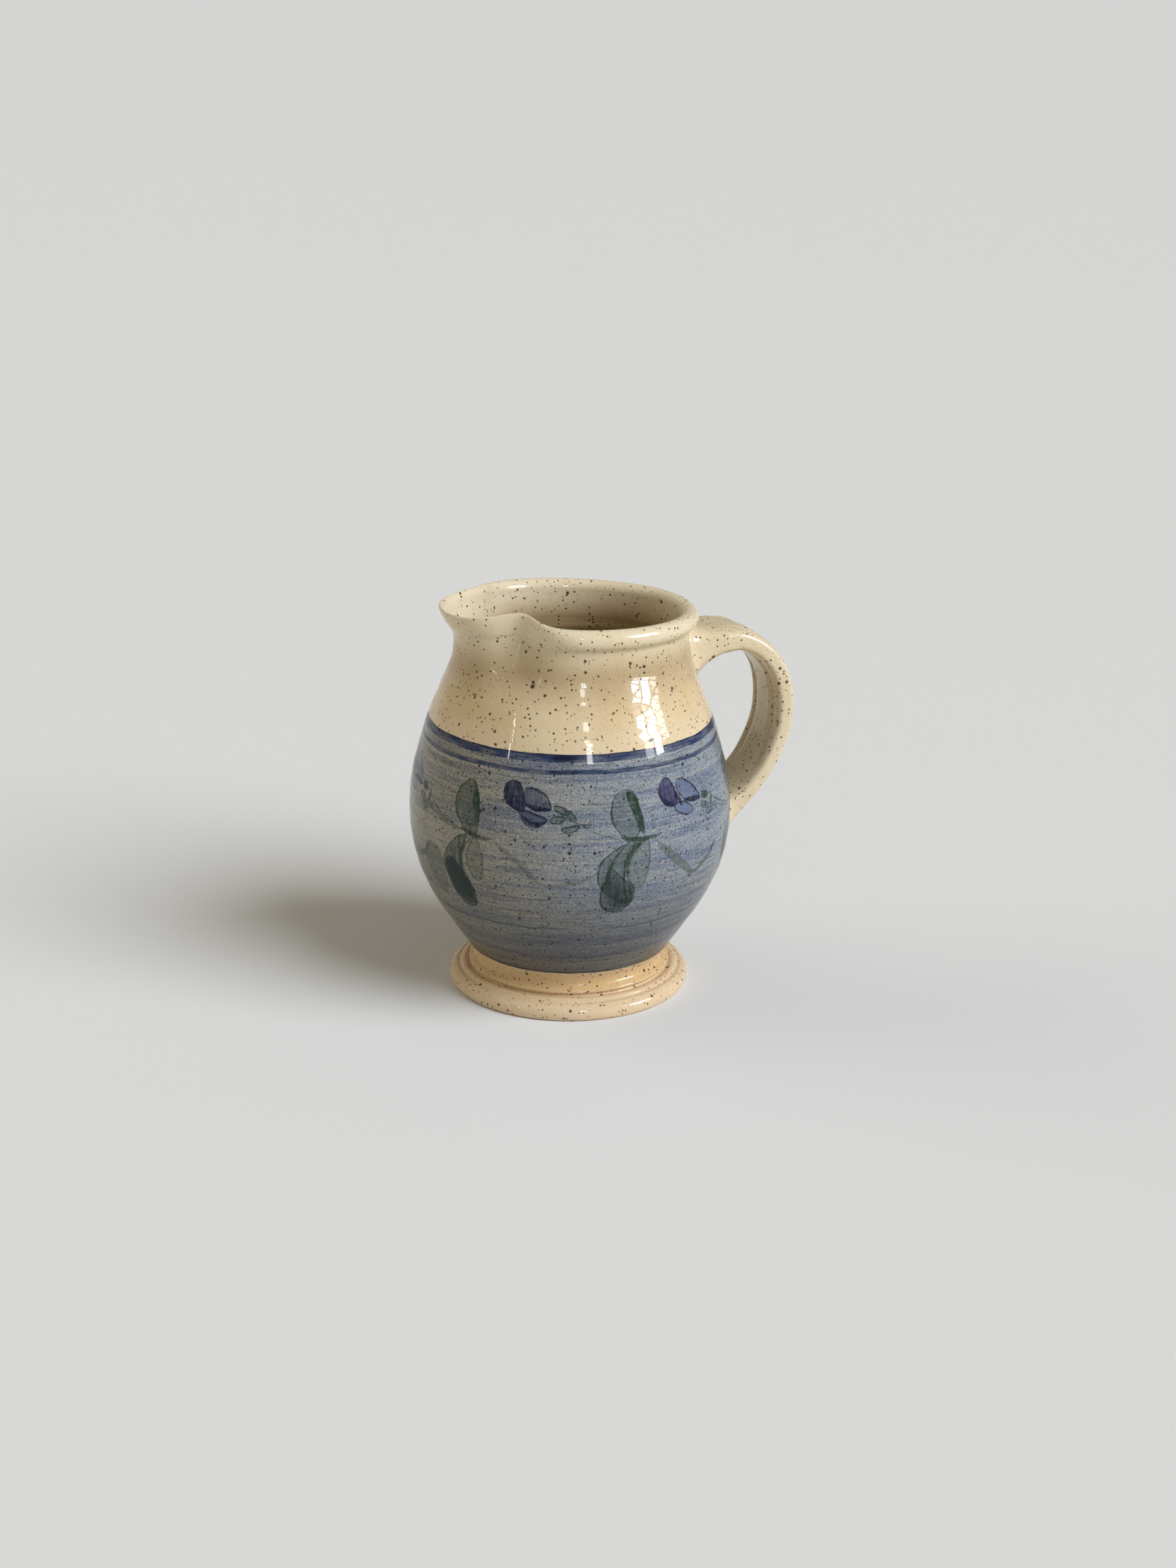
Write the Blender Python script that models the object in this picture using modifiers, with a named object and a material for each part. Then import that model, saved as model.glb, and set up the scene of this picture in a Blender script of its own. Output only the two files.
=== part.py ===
"""Stoneware pitcher: a wheel-thrown body with a pulled spout, a thrown foot ring and a pulled strap handle.

Metres, +Z up, and the table is the plane z = 0. The origin is the middle of the pitcher's bounding box on
the table. The turning axis stands AXIS_X along X from it. The spout points to -X and the handle to +X.
"""

import math

import bmesh
import bpy
from mathutils import Vector

MM = 0.001

# Driving dimensions. Radii are measured from the turning axis.
FOOT_RADIUS = 54.0 * MM
BELLY_RADIUS = 71.1 * MM
RIM_CREST_RADIUS = 49.5 * MM
RIM_CREST_HEIGHT = 172.0 * MM
RIM_BEAD_RADIUS = 4.05 * MM
HANDLE_REACH = 102.0 * MM
STRAP_WIDTH = 32.0 * MM
STRAP_THICKNESS = 9.6 * MM
JOINT_GAP = 0.3 * MM
AXIS_X = (BELLY_RADIUS - HANDLE_REACH) / 2

# How far the fingers move the round rim, and where. Angles are measured round the axis from the spout.
OVAL = 0.05
SPOUT_PULL = 6.3 * MM
SPOUT_SPREAD = math.radians(27)
SPOUT_START = 158.0 * MM
PINCH_DEPTH = 11.2 * MM
PINCH_ANGLE = math.radians(42)
PINCH_SPREAD = math.radians(11)
PINCH_START = 140.0 * MM
PINCH_LIFT = 3.0 * MM
RIM_TILT = 4.1 * MM
LIFT_START = 150.0 * MM
SPOUT_CURL = 1.5
NECK_START = 128.0 * MM
LIP_THINNING = 0.6
LIP_START = 158.0 * MM
LIP_FULL = 165.0 * MM
BEAD_ENDS = math.radians(50)
BEAD_FULL = math.radians(78)

TURN_STEPS = 72
STRAP_SIDES = 24
AXIS_MERGE = 0.02 * MM

# Outside of the body from its lower edge to the crease under the rim bead: (radius, height) in millimetres.
BODY_OUTSIDE = [
    (45.4, 19.2),
    (54.1, 32.4),
    (60.9, 43.2),
    (67.0, 56.7),
    (70.3, 70.2),
    (BELLY_RADIUS / MM, 83.7),
    (70.0, 97.2),
    (66.7, 110.7),
    (62.7, 124.2),
    (58.2, 135.0),
    (54.0, 144.5),
    (51.4, 152.0),
    (50.4, 158.0),
    (50.6, 162.6),
]

# Inside of the body from the middle of its floor to the underside of the bead.
BODY_INSIDE = [
    (18.0, 21.6),
    (30.0, 23.4),
    (40.0, 28.7),
    (48.8, 37.6),
    (56.4, 49.0),
    (61.7, 61.0),
    (64.4, 73.0),
    (65.1, 84.0),
    (64.0, 97.0),
    (60.8, 110.5),
    (56.9, 123.5),
    (52.4, 134.5),
    (48.2, 144.5),
    (45.7, 152.5),
    (44.9, 160.0),
]
FLOOR_HEIGHT = 21.5
# Underside of the floor, from the body's lower edge in to the middle.
UNDERSIDE = [(44.6, 18.5), (38.0, 16.3), (30.0, 14.4), (24.0, 14.0)]

# Outside of the foot ring from its upper edge to the table: a cove, a small ridge, a groove and a flange.
FOOT_OUTSIDE = [
    (44.2, 17.9),
    (42.8, 16.4),
    (42.2, 14.2),
    (42.4, 12.0),
    (43.4, 10.6),
    (44.2, 9.8),
    (44.1, 8.8),
    (45.2, 8.4),
    (47.6, 8.2),
    (49.4, 7.2),
    (51.6, 6.7),
    (53.2, 5.4),
    (FOOT_RADIUS / MM, 3.4),
    (53.8, 1.4),
    (52.9, 0.3),
    (52.0, 0.0),
]
# Inside of the ring from the table up to its seat against the floor.
RECESS = [(39.6, 0.0), (39.0, 0.6), (36.6, 12.6), (36.8, 15.3), (38.0, 15.9)]

# Middle line of the strap in its own plane, from inside the neck wall to inside the belly wall:
# (distance from the axis, height) in millimetres, then the thickness and the width as shares of the strap's.
STRAP_ROUTE = [
    (47.0, 150.5, 2.60, 1.18),
    (54.5, 151.0, 2.34, 1.12),
    (61.0, 152.8, 1.76, 1.06),
    (68.0, 154.6, 1.27, 1.02),
    (75.5, 154.3, 1.10, 1.0),
    (83.3, 150.9, 1.02, 1.0),
    (89.4, 145.6, 1.0, 1.0),
    (94.0, 138.6, 1.0, 1.0),
    (96.4, 130.5, 1.0, 1.0),
    (97.2, 121.0, 1.0, 1.0),
    (96.3, 111.5, 1.0, 1.0),
    (93.0, 102.2, 0.93, 1.0),
    (88.1, 93.0, 0.88, 1.0),
    (82.3, 85.5, 0.9, 1.0),
    (75.9, 77.8, 1.1, 1.03),
    (69.0, 71.0, 1.45, 1.06),
    (62.0, 64.5, 1.77, 1.08),
]
STRAP_STEPS = 2
SIDE_SQUARENESS = 0.55
FACE_SQUARENESS = 0.5
GROOVE_DEPTH = 0.09
GROOVE_PLACE = 0.52
GROOVE_SPREAD = 0.15


def clear_scene():
    for old in list(bpy.data.objects):
        bpy.data.objects.remove(old, do_unlink=True)


def collection(name, hidden=False):
    made = bpy.data.collections.new(name)
    made.hide_render = hidden
    bpy.context.scene.collection.children.link(made)
    return made


def glaze(name, colour, roughness):
    material = bpy.data.materials.new(name)
    material.use_nodes = True
    shader = material.node_tree.nodes["Principled BSDF"]
    shader.inputs["Base Color"].default_value = (*colour, 1.0)
    shader.inputs["Roughness"].default_value = roughness
    shader.inputs["Metallic"].default_value = 0.0
    return material


def smooth(low, high, value):
    """0 below low, 1 above high, and a smooth rise between them."""
    share = min(max((value - low) / (high - low), 0.0), 1.0)
    return share * share * (3 - 2 * share)


def bell(angle, spread):
    turned_back = math.remainder(angle, math.tau)
    return math.exp(-0.5 * (turned_back / spread) ** 2)


def through(points, steps):
    """A smooth line through the points (Catmull-Rom), with this many steps between each two of them."""
    padded = [points[0], *points, points[-1]]
    line = []
    for index in range(1, len(padded) - 2):
        before, start, end, after = (Vector(p) for p in padded[index - 1 : index + 3])
        for step in range(steps):
            t = step / steps
            line.append(
                0.5
                * (
                    2 * start
                    + (end - before) * t
                    + (2 * before - 5 * start + 4 * end - after) * t**2
                    + (3 * start - before - 3 * end + after) * t**3
                )
            )
    line.append(Vector(points[-1]))
    return line


def arc(centre, radius, start, end, steps):
    angles = [math.radians(start + (end - start) * i / steps) for i in range(steps + 1)]
    return [centre + Vector((radius * math.cos(a), radius * math.sin(a))) for a in angles]


def millimetres(points):
    return [tuple(value * MM for value in point) for point in points]


def rim_arc(start, end, steps, radius=RIM_BEAD_RADIUS):
    centre = Vector((RIM_CREST_RADIUS, RIM_CREST_HEIGHT - RIM_BEAD_RADIUS))
    return arc(centre, radius, start, end, steps)


def body_profile():
    """Up the inside from the floor, over the bead, down the outside and in along the underside."""
    inside = through([(0.0, FLOOR_HEIGHT * MM), *millimetres(BODY_INSIDE)], 1)
    bead = rim_arc(180, -50, 10)
    outside = through(millimetres(reversed(BODY_OUTSIDE)), 2)
    underside = [*millimetres(UNDERSIDE), (0.0, UNDERSIDE[-1][1] * MM)]
    return [*inside, *bead, *outside, *underside]


def clearance_profile():
    """The body's outside moved out by the joint gap and closed to the axis, to cut its neighbours with."""
    bead = rim_arc(90, -50, 6, RIM_BEAD_RADIUS + JOINT_GAP)
    outside = through(millimetres(reversed(BODY_OUTSIDE)), 2)
    line = [*bead, *(point + Vector((JOINT_GAP, 0)) for point in outside)]
    top = (0.0, line[0][1])
    bottom = (0.0, line[-1][1])
    return [top, *line, bottom]


def foot_profile():
    """Down the outside of the ring, in along its resting face and up the recess, then back over the top."""
    outside = through(millimetres(FOOT_OUTSIDE), 1)
    return [*outside, *millimetres(RECESS)]


def turned(name, profile, target, material, closed=False):
    """A solid turned round the Z axis from a profile in the X-Z plane."""
    mesh = bpy.data.meshes.new(name)
    points = [(point[0], 0.0, point[1]) for point in profile]
    edges = [(i, i + 1) for i in range(len(points) - 1)]
    if closed:
        edges.append((len(points) - 1, 0))
    mesh.from_pydata(points, edges, [])
    obj = bpy.data.objects.new(name, mesh)
    target.objects.link(obj)
    mesh.materials.append(material)
    screw = obj.modifiers.new("Turn", "SCREW")
    screw.axis = "Z"
    screw.angle = math.tau
    screw.steps = TURN_STEPS
    screw.render_steps = TURN_STEPS
    screw.use_merge_vertices = True
    screw.merge_threshold = AXIS_MERGE
    return obj


def made_mesh(obj, target):
    """Replaces an object that has modifiers by a plain mesh of the shape they give."""
    graph = bpy.context.evaluated_depsgraph_get()
    mesh = bpy.data.meshes.new_from_object(obj.evaluated_get(graph))
    name = obj.name
    bpy.data.objects.remove(obj, do_unlink=True)
    plain = bpy.data.objects.new(name, mesh)
    target.objects.link(plain)
    return plain


def pulled(point):
    """Where the fingers leave a point of the round neck: an oval mouth with a spout between two pinches."""
    x, y, z = point
    heading = math.atan2(y, -x)
    radius = math.hypot(x, y)
    near_spout = 1 - smooth(BEAD_ENDS, BEAD_FULL, abs(heading))
    thinning = LIP_THINNING * near_spout * smooth(LIP_START, LIP_FULL, z)
    radius = RIM_CREST_RADIUS + (radius - RIM_CREST_RADIUS) * (1 - thinning)
    pinch = bell(heading - PINCH_ANGLE, PINCH_SPREAD) + bell(heading + PINCH_ANGLE, PINCH_SPREAD)
    spout_share = max((z - SPOUT_START) / (RIM_CREST_HEIGHT - SPOUT_START), 0.0) ** SPOUT_CURL
    radius -= PINCH_DEPTH * pinch * smooth(PINCH_START, RIM_CREST_HEIGHT, z)
    radius += SPOUT_PULL * bell(heading, SPOUT_SPREAD) * spout_share
    oval = OVAL * smooth(NECK_START, RIM_CREST_HEIGHT, z)
    lift = RIM_TILT * (1 + math.cos(heading)) / 2 + PINCH_LIFT * pinch
    return Vector(
        (
            -radius * math.cos(heading) * (1 + oval),
            radius * math.sin(heading) * (1 - oval),
            z + lift * smooth(LIFT_START, RIM_CREST_HEIGHT, z),
        )
    )


def pull_rim(obj):
    for vertex in obj.data.vertices:
        if vertex.co.z > NECK_START and vertex.co.xy.length > AXIS_MERGE:
            vertex.co = pulled(vertex.co)


def strap_section(thickness, width):
    """Outline of the strap, flat along width, with a shallow groove on each side of the middle of its faces."""
    outline = []
    for index in range(STRAP_SIDES):
        angle = math.tau * index / STRAP_SIDES
        across = math.copysign(abs(math.cos(angle)) ** SIDE_SQUARENESS, math.cos(angle))
        out = math.copysign(abs(math.sin(angle)) ** FACE_SQUARENESS, math.sin(angle))
        groove = math.exp(-(((abs(across) - GROOVE_PLACE) / GROOVE_SPREAD) ** 2))
        outline.append((across * width / 2, out * thickness / 2 * (1 - GROOVE_DEPTH * groove)))
    return outline


def strap(target, material):
    """The handle, lofted through sections that change from thick roots to a flat strap."""
    sizes = (MM, MM, STRAP_THICKNESS, STRAP_WIDTH)
    stations = [tuple(value * size for value, size in zip(station, sizes)) for station in STRAP_ROUTE]
    route = through(stations, STRAP_STEPS)
    form = bmesh.new()
    rings = []
    for index, (reach, height, thickness, width) in enumerate(route):
        before = route[max(index - 1, 0)]
        after = route[min(index + 1, len(route) - 1)]
        along = Vector((after[0] - before[0], 0.0, after[1] - before[1])).normalized()
        outwards = Vector((-along.z, 0.0, along.x))
        centre = Vector((reach, 0.0, height))
        outline = strap_section(thickness, width)
        corners = [centre + Vector((0.0, across, 0.0)) + outwards * out for across, out in outline]
        rings.append([form.verts.new(corner) for corner in corners])
    for ring, following in zip(rings, rings[1:]):
        for index in range(STRAP_SIDES):
            other = (index + 1) % STRAP_SIDES
            form.faces.new((ring[index], following[index], following[other], ring[other]))
    form.faces.new(rings[0])
    form.faces.new(reversed(rings[-1]))
    bmesh.ops.recalc_face_normals(form, faces=form.faces)
    mesh = bpy.data.meshes.new("strap_handle")
    form.to_mesh(mesh)
    form.free()
    mesh.materials.append(material)
    obj = bpy.data.objects.new("strap_handle", mesh)
    target.objects.link(obj)
    return obj


def cut(obj, cutter):
    boolean = obj.modifiers.new("Luted joint", "BOOLEAN")
    boolean.operation = "DIFFERENCE"
    boolean.solver = "EXACT"
    boolean.object = cutter


def build():
    clear_scene()
    pitcher = collection("ceramic_pitcher")
    cutters = collection("cutters", hidden=True)
    cream = glaze("cream_glaze", (0.72, 0.58, 0.36), 0.25)
    slip = glaze("blue_slip_glaze", (0.21, 0.25, 0.29), 0.25)
    peach = glaze("foot_glaze", (0.70, 0.53, 0.33), 0.3)

    body = made_mesh(turned("thrown_body", body_profile(), pitcher, slip), pitcher)
    pull_rim(body)
    foot = turned("foot_ring", foot_profile(), pitcher, peach, closed=True)
    handle = strap(pitcher, cream)
    clearance = made_mesh(turned("body_clearance", clearance_profile(), cutters, cream), cutters)
    pull_rim(clearance)
    clearance.hide_render = True
    clearance.display_type = "WIRE"
    cut(handle, clearance)

    axis = bpy.data.objects.new("turning_axis", None)
    axis.location = (AXIS_X, 0.0, 0.0)
    pitcher.objects.link(axis)
    for obj in (body, foot, handle, clearance):
        obj.parent = axis
        obj.data.shade_smooth()


build()
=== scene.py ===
"""The ceramic pitcher's looks: fine surfaces, painted glaze, floor, light and camera, built on the CAD frame."""

import math

import bpy
import numpy as np
from mathutils import Matrix, Vector


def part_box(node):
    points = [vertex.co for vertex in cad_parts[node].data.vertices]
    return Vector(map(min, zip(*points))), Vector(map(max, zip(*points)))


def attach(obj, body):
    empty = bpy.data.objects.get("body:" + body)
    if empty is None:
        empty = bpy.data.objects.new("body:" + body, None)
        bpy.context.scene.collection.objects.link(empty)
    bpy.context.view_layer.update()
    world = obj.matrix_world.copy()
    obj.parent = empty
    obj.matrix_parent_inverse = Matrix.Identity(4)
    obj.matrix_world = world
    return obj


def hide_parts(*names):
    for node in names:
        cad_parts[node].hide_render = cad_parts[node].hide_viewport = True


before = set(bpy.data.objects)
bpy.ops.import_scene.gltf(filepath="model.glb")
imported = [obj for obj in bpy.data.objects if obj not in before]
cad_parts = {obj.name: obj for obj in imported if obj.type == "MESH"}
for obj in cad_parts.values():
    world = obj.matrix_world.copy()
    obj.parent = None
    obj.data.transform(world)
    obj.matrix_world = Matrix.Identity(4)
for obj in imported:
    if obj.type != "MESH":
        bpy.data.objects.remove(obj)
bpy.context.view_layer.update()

MM = 0.001
foot_low, foot_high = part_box("foot_ring")
_, body_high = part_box("thrown_body")
AXIS_X = (foot_low.x + foot_high.x) / 2
FOOT_RADIUS = (foot_high.x - foot_low.x) / 2 / MM
BELLY_RADIUS = body_high.y / MM

# ---------------------------------------------------------------- shape of the thrown body, in millimetres

RIM_CREST_RADIUS = 49.5
RIM_CREST_HEIGHT = 172.0
RIM_BEAD_RADIUS = 4.05

# How far the fingers move the round rim, and where. Angles are measured round the axis from the spout.
OVAL = 0.05
SPOUT_PULL = 6.3
SPOUT_SPREAD = math.radians(27)
SPOUT_START = 158.0
SPOUT_CURL = 1.5
PINCH_DEPTH = 11.2
PINCH_ANGLE = math.radians(42)
PINCH_SPREAD = math.radians(11)
THUMB_SHARE = 0.74
THUMB_SPREAD = 1.3 * PINCH_SPREAD
PINCH_START = 140.0
PINCH_LIFT = 3.0
RIM_TILT = 4.1
LIFT_START = 150.0
NECK_START = 128.0
LIP_THINNING = 0.6
LIP_START = 158.0
LIP_FULL = 165.0
BEAD_ENDS = math.radians(50)
BEAD_FULL = math.radians(78)

# Ridges that throwing leaves: how high they stand, and how far apart they are.
INSIDE_RIDGE, INSIDE_PITCH = 0.28, 6.4
OUTSIDE_RIDGE, OUTSIDE_PITCH = 0.07, 9.1

# Faces round the turned pieces.
BODY_AROUND = 336
FOOT_AROUND = 288

# Outside of the body from its lower edge to the crease under the rim bead: (radius, height).
BODY_OUTSIDE = [
    (45.4, 19.2),
    (54.1, 32.4),
    (60.9, 43.2),
    (67.0, 56.7),
    (70.3, 70.2),
    (BELLY_RADIUS, 83.7),
    (70.0, 97.2),
    (66.7, 110.7),
    (62.7, 124.2),
    (58.2, 135.0),
    (54.0, 144.5),
    (51.4, 152.0),
    (50.3, 158.0),
    (50.0, 161.6),
    (50.1, 163.3),
    (51.2, 164.4),
]
# Inside of the body from the middle of its floor to the underside of the bead.
BODY_INSIDE = [
    (0.0, 21.5),
    (18.0, 21.6),
    (30.0, 23.4),
    (40.0, 28.7),
    (48.8, 37.6),
    (56.4, 49.0),
    (61.7, 61.0),
    (64.4, 73.0),
    (65.1, 84.0),
    (64.0, 97.0),
    (60.8, 110.5),
    (56.9, 123.5),
    (52.4, 134.5),
    (48.2, 144.5),
    (45.7, 152.5),
    (44.9, 160.0),
]
# Underside of the floor, from the body's lower edge in to the middle.
UNDERSIDE = [(45.4, 19.2), (44.6, 18.5), (38.0, 16.3), (30.0, 14.4), (24.0, 14.0), (0.0, 14.0)]
# Outside of the foot ring from its upper edge to the table: a cove, a ridge, a groove and a flange.
FOOT_OUTSIDE = [
    (44.4, 18.4),
    (43.4, 17.1),
    (42.6, 15.8),
    (42.2, 14.2),
    (42.3, 12.9),
    (42.9, 12.0),
    (44.0, 11.3),
    (45.0, 10.6),
    (45.1, 9.8),
    (44.3, 9.0),
    (44.2, 8.2),
    (45.2, 8.0),
    (46.9, 8.5),
    (48.2, 8.2),
    (49.0, 7.3),
    (49.8, 7.0),
    (50.9, 7.0),
    (52.1, 6.3),
    (53.3, 5.2),
    (53.9, 3.8),
    (FOOT_RADIUS, 2.8),
    (53.8, 1.4),
    (53.1, 0.4),
    (52.2, 0.0),
]
# From the table up the inside of the ring to its seat, and out to its upper edge.
RECESS = [(52.2, 0.0), (46.0, 0.0), (39.8, 0.0), (39.0, 0.6), (36.6, 12.6), (36.8, 15.3), (38.0, 16.0), (44.4, 18.4)]


def smooth(low, high, value):
    share = np.clip((value - low) / (high - low), 0.0, 1.0)
    return share * share * (3 - 2 * share)


def bell(angle, spread):
    turned_back = (angle + math.pi) % math.tau - math.pi
    return np.exp(-0.5 * (turned_back / spread) ** 2)


def through(points, steps):
    """A smooth line through the points (Catmull-Rom), with this many steps between each two of them."""
    given = np.array(points, float)
    padded = np.vstack([2 * given[0] - given[1], given, 2 * given[-1] - given[-2]])
    t = (np.arange(steps) / steps)[:, None]
    line = []
    for before, start, end, after in zip(padded, padded[1:], padded[2:], padded[3:]):
        bend = 2 * before - 5 * start + 4 * end - after
        twist = 3 * start - before - 3 * end + after
        line.append(0.5 * (2 * start + (end - before) * t + bend * t**2 + twist * t**3))
    return np.vstack([*line, given[-1:]])


def straight(points, steps):
    given = np.array(points, float)
    t = (np.arange(steps) / steps)[:, None]
    pieces = [start + (end - start) * t for start, end in zip(given, given[1:])]
    return np.vstack([*pieces, given[-1:]])


def pulled(x, y, z):
    """Where the fingers leave a point of the round neck: an oval mouth with a spout between two pinches."""
    heading = np.arctan2(y, -x)
    radius = np.hypot(x, y)
    near_spout = 1 - smooth(BEAD_ENDS, BEAD_FULL, np.abs(heading))
    thinning = LIP_THINNING * near_spout * smooth(LIP_START, LIP_FULL, z)
    worked = RIM_CREST_RADIUS + (radius - RIM_CREST_RADIUS) * (1 - thinning)
    # The thumb's pinch, on +Y, is a little softer than the finger's.
    thumb = THUMB_SHARE * bell(heading - PINCH_ANGLE, THUMB_SPREAD)
    pinch = thumb + bell(heading + PINCH_ANGLE, PINCH_SPREAD)
    spout_share = np.clip((z - SPOUT_START) / (RIM_CREST_HEIGHT - SPOUT_START), 0.0, None) ** SPOUT_CURL
    worked = worked - PINCH_DEPTH * pinch * smooth(PINCH_START, RIM_CREST_HEIGHT, z)
    worked = worked + SPOUT_PULL * bell(heading, SPOUT_SPREAD) * spout_share
    oval = OVAL * smooth(NECK_START, RIM_CREST_HEIGHT, z)
    lift = RIM_TILT * (1 + np.cos(heading)) / 2 + PINCH_LIFT * pinch
    far = (z > NECK_START) & (radius > 1.0)
    new_x = np.where(far, -worked * np.cos(heading) * (1 + oval), x)
    new_y = np.where(far, worked * np.sin(heading) * (1 - oval), y)
    new_z = np.where(far, z + lift * smooth(LIFT_START, RIM_CREST_HEIGHT, z), z)
    return new_x, new_y, new_z


def body_profile():
    """Up the inside from the floor, over the bead, down the outside and in underneath, as (radius, height)."""
    inside = through(BODY_INSIDE, 7)
    # The finger ridges fade out at the floor and under the bead.
    ridge = INSIDE_RIDGE * np.sin(math.tau * inside[:, 1] / INSIDE_PITCH) * smooth(30.0, 60.0, inside[:, 1])
    inside[:, 0] += ridge * (1 - smooth(150.0, 160.0, inside[:, 1]))
    turn = np.radians(np.linspace(180, -58, 40))
    bead = np.column_stack([np.cos(turn), np.sin(turn)]) * RIM_BEAD_RADIUS
    bead += (RIM_CREST_RADIUS, RIM_CREST_HEIGHT - RIM_BEAD_RADIUS)
    outside = through(BODY_OUTSIDE[::-1], 8)
    ridge = OUTSIDE_RIDGE * np.sin(math.tau * outside[:, 1] / OUTSIDE_PITCH)
    outside[:, 0] += ridge * smooth(24, 40, outside[:, 1])
    return np.vstack([inside, bead, outside, straight(UNDERSIDE, 4)[1:]])


def foot_profile():
    return np.vstack([through(FOOT_OUTSIDE, 4), straight(RECESS, 4)[1:-1]])


# ---------------------------------------------------------------- meshes


def add_object(name, data):
    made = bpy.data.objects.new(name, data)
    bpy.context.scene.collection.objects.link(made)
    return made


def make_mesh(name, points, faces, material):
    """A piece with its own origin on the turning axis, from points in millimetres round that axis."""
    points = np.asarray(points, float)
    first, second, third = (points[[face[corner] for face in faces]] for corner in range(3))
    # Faces that look outwards enclose a positive volume.
    if np.einsum("ij,ij->i", first, np.cross(second, third)).sum() < 0:
        faces = [tuple(reversed(face)) for face in faces]
    mesh = bpy.data.meshes.new(name)
    mesh.from_pydata((points * MM).tolist(), [], faces)
    mesh.validate()
    mesh.shade_smooth()
    mesh.materials.append(material)
    piece = add_object(name, mesh)
    piece.location = (AXIS_X, 0.0, 0.0)
    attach(piece, "root")
    return piece


def turned(profile, around, closed):
    """(points, faces) of a profile turned about Z. An open profile starts and ends on the axis."""
    heading = np.arange(around) / around * math.tau
    rows = profile if closed else profile[1:-1]
    x = (rows[:, 0, None] * np.cos(heading)).ravel()
    y = (rows[:, 0, None] * np.sin(heading)).ravel()
    z = np.repeat(rows[:, 1], around)
    points = np.column_stack([x, y, z])
    count = len(rows)
    step = np.arange(around)
    following = (step + 1) % around
    faces = []
    for row in range(count if closed else count - 1):
        low, high = row * around, ((row + 1) % count) * around
        faces += np.column_stack([low + step, low + following, high + following, high + step]).tolist()
    if not closed:
        first, last = len(points), len(points) + 1
        ends = [(0.0, 0.0, profile[0, 1]), (0.0, 0.0, profile[-1, 1])]
        points = np.vstack([points, ends])
        top = (count - 1) * around
        faces += [(first, int(b), int(a)) for a, b in zip(step, following)]
        faces += [(last, int(top + a), int(top + b)) for a, b in zip(step, following)]
    return points, faces


def hand_made(points):
    """The slight unevenness that hands leave on a thrown wall."""
    x, y, z = points.T
    heading = np.arctan2(y, x)
    sway = 0.16 * np.sin(2 * heading + z / 31) + 0.1 * np.sin(3 * heading - z / 17)
    sway *= smooth(25.0, 60.0, z)
    radius = np.maximum(np.hypot(x, y), 1e-6)
    share = 1 + sway * smooth(10.0, 30.0, radius) / radius
    wave = 0.18 * np.sin(3 * heading + 0.6) + 0.12 * np.sin(5 * heading)
    return np.column_stack([x * share, y * share, z + wave * smooth(160.0, 172.0, z)])


# ---------------------------------------------------------------- the strap handle

STRAP_WIDTH = 32.0
STRAP_THICKNESS = 9.6
# Middle line of the strap in its own plane, from the neck to the belly: (distance from the axis, height),
# then the thickness and the width as shares of the strap's.
STRAP_ROUTE = [
    (68.0, 154.6, 1.27, 1.02),
    (75.5, 154.3, 1.10, 1.0),
    (83.3, 150.9, 1.02, 1.0),
    (89.4, 145.6, 1.0, 1.0),
    (94.0, 138.6, 1.0, 1.0),
    (96.4, 130.5, 1.0, 1.0),
    (97.2, 121.0, 1.0, 1.0),
    (96.3, 111.5, 1.0, 1.0),
    (93.0, 102.2, 0.93, 1.0),
    (88.1, 93.0, 0.88, 1.0),
    (82.3, 85.5, 0.92, 1.0),
]
STRAP_SIDES = 120
SIDE_SQUARENESS = 0.55
FACE_SQUARENESS = 0.5
# Places and widths across the strap, from 0 in the middle to 1 at the edge, and shares of its thickness.
GROOVE_PLACE, GROOVE_WIDTH, GROOVE_DEPTH = 0.6, 0.11, 0.27
CROWN_WIDTH, CROWN_HEIGHT = 0.3, 0.05
ROOT_RINGS = 14
# (the way the strap leaves for the wall, the root's middle height, half its height, half its width, which way up
# it lands, how steeply the clay meets the wall)
UPPER_ROOT = ((-1.0, 0.0, -0.06), 151.2, 12.2, 19.5, 1.0, 0.45)
LOWER_ROOT = ((-0.7, 0.0, -0.72), 73.0, 10.5, 18.5, -1.0, 0.4)


def strap_outline():
    """Across and out round the strap's section, each from -1 to 1, and the relief of its grooves and low crown."""
    angle = np.arange(STRAP_SIDES) / STRAP_SIDES * math.tau
    across = np.sign(np.cos(angle)) * np.abs(np.cos(angle)) ** SIDE_SQUARENESS
    out = np.sign(np.sin(angle)) * np.abs(np.sin(angle)) ** FACE_SQUARENESS
    groove = np.exp(-(((np.abs(across) - GROOVE_PLACE) / GROOVE_WIDTH) ** 2))
    crown = np.exp(-((across / CROWN_WIDTH) ** 2))
    return across, out, 1 - GROOVE_DEPTH * groove + CROWN_HEIGHT * crown


def on_wall(side, height, profile):
    """Points of the body's outside at this distance to each side of the handle's plane, at these heights."""
    radius = np.interp(height, profile[:, 1], profile[:, 0])
    heading = side / radius
    return np.column_stack(pulled(radius * np.cos(heading), radius * np.sin(heading), height))


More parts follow.
